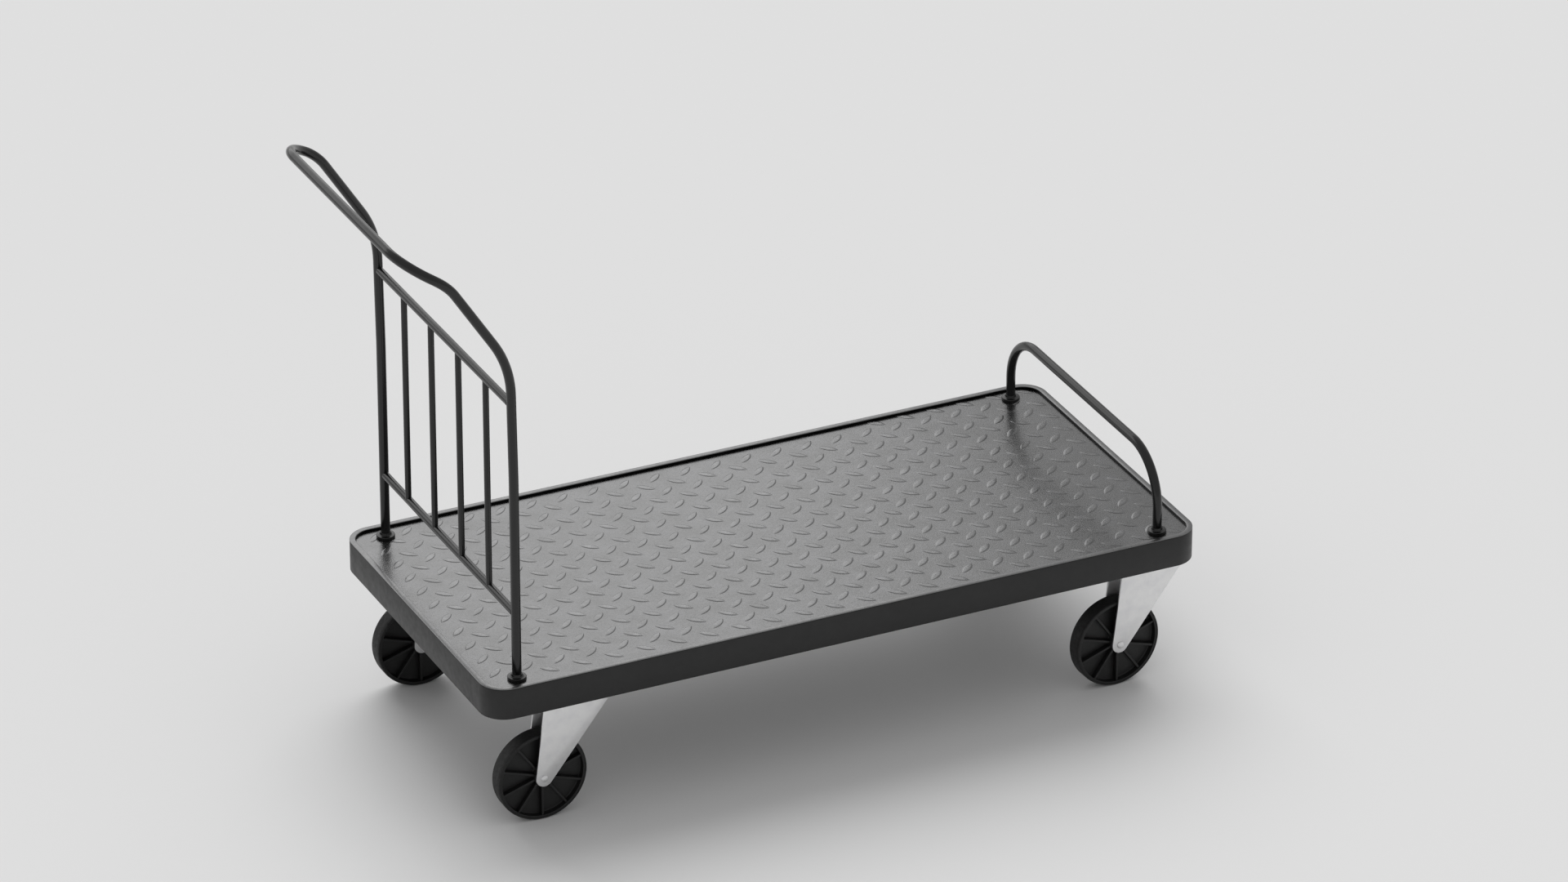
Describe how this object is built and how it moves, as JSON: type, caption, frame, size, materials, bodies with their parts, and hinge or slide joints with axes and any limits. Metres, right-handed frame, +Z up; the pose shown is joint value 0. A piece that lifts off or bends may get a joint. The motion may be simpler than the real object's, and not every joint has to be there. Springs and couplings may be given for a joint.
{
  "type": "platform luggage cart",
  "caption": "Low platform luggage cart: tread-plate deck in a deep skirt, tall barred push handle, low end rail and swivel casters.",
  "frame": {"origin": "centre of the cart's footprint on the floor", "axes": "+X towards the low rail, -X towards the push handle, +Z up"},
  "size_m": [1.342, 0.583, 0.9984],
  "materials": {
    "tread_metal": "semi-gloss rolled tread plate",
    "edge_metal": "satin sheet metal",
    "skirt_paint": "satin charcoal paint",
    "bar_paint": "semi-gloss black paint",
    "zinc_plate": "satin zinc plate",
    "wheel_plastic": "moulded black plastic",
    "tyre_rubber": "matte black rubber"
  },
  "bodies": {
    "base": {"deck_plate": "tread_metal", "rim_frame": "skirt_paint", "rim_cap": "edge_metal", "cross_member_1": "skirt_paint", "cross_member_2": "skirt_paint", "cross_member_3": "skirt_paint", "cross_member_4": "skirt_paint", "stringer": "skirt_paint", "handle_bar": "bar_paint", "crossbar_upper": "bar_paint", "crossbar_lower": "bar_paint", "spindle_1": "bar_paint", "spindle_2": "bar_paint", "spindle_3": "bar_paint", "spindle_4": "bar_paint", "handle_flange_left": "bar_paint", "handle_flange_right": "bar_paint", "low_rail": "bar_paint", "low_rail_flange_left": "bar_paint", "low_rail_flange_right": "bar_paint", "rail_bolt_1": "zinc_plate", "rail_bolt_2": "zinc_plate", "rail_bolt_3": "zinc_plate", "rail_bolt_4": "zinc_plate", "rear_right_plate": "zinc_plate", "rear_right_swivel_race": "zinc_plate", "rear_right_kingpin": "zinc_plate", "front_right_plate": "zinc_plate", "front_right_swivel_race": "zinc_plate", "front_right_kingpin": "zinc_plate", "rear_left_plate": "zinc_plate", "rear_left_swivel_race": "zinc_plate", "rear_left_kingpin": "zinc_plate", "front_left_plate": "zinc_plate", "front_left_swivel_race": "zinc_plate", "front_left_kingpin": "zinc_plate"},
    "rear_right_caster": {"rear_right_fork": "zinc_plate", "rear_right_ball_ring": "zinc_plate", "rear_right_axle": "zinc_plate", "rear_right_axle_sleeve": "zinc_plate"},
    "rear_right_roller": {"rear_right_wheel": "wheel_plastic", "rear_right_tyre": "tyre_rubber"},
    "front_right_caster": {"front_right_fork": "zinc_plate", "front_right_ball_ring": "zinc_plate", "front_right_axle": "zinc_plate", "front_right_axle_sleeve": "zinc_plate"},
    "front_right_roller": {"front_right_wheel": "wheel_plastic", "front_right_tyre": "tyre_rubber"},
    "rear_left_caster": {"rear_left_fork": "zinc_plate", "rear_left_ball_ring": "zinc_plate", "rear_left_axle": "zinc_plate", "rear_left_axle_sleeve": "zinc_plate"},
    "rear_left_roller": {"rear_left_wheel": "wheel_plastic", "rear_left_tyre": "tyre_rubber"},
    "front_left_caster": {"front_left_fork": "zinc_plate", "front_left_ball_ring": "zinc_plate", "front_left_axle": "zinc_plate", "front_left_axle_sleeve": "zinc_plate"},
    "front_left_roller": {"front_left_wheel": "wheel_plastic", "front_left_tyre": "tyre_rubber"}
  },
  "joints": [
    {"name": "rear_right_swivel", "type": "hinge", "parent": "base", "child": "rear_right_caster", "pos_m": [-0.40425, -0.237, 0.2122], "axis": [0, 0, 1], "continuous": true},
    {"name": "rear_right_roll", "type": "hinge", "parent": "rear_right_caster", "child": "rear_right_roller", "pos_m": [-0.45425, -0.237, 0.075], "axis": [0, 1, 0], "continuous": true},
    {"name": "front_right_swivel", "type": "hinge", "parent": "base", "child": "front_right_caster", "pos_m": [0.59505, -0.237, 0.2122], "axis": [0, 0, 1], "continuous": true},
    {"name": "front_right_roll", "type": "hinge", "parent": "front_right_caster", "child": "front_right_roller", "pos_m": [0.54513, -0.23988, 0.075], "axis": [-0.0576, 0.9983, 0], "continuous": true},
    {"name": "rear_left_swivel", "type": "hinge", "parent": "base", "child": "rear_left_caster", "pos_m": [-0.40425, 0.237, 0.2122], "axis": [0, 0, 1], "continuous": true},
    {"name": "rear_left_roll", "type": "hinge", "parent": "rear_left_caster", "child": "rear_left_roller", "pos_m": [-0.45425, 0.237, 0.075], "axis": [0, 1, 0], "continuous": true},
    {"name": "front_left_swivel", "type": "hinge", "parent": "base", "child": "front_left_caster", "pos_m": [0.59505, 0.237, 0.2122], "axis": [0, 0, 1], "continuous": true},
    {"name": "front_left_roll", "type": "hinge", "parent": "front_left_caster", "child": "front_left_roller", "pos_m": [0.54505, 0.237, 0.075], "axis": [0, 1, 0], "continuous": true}
  ]
}
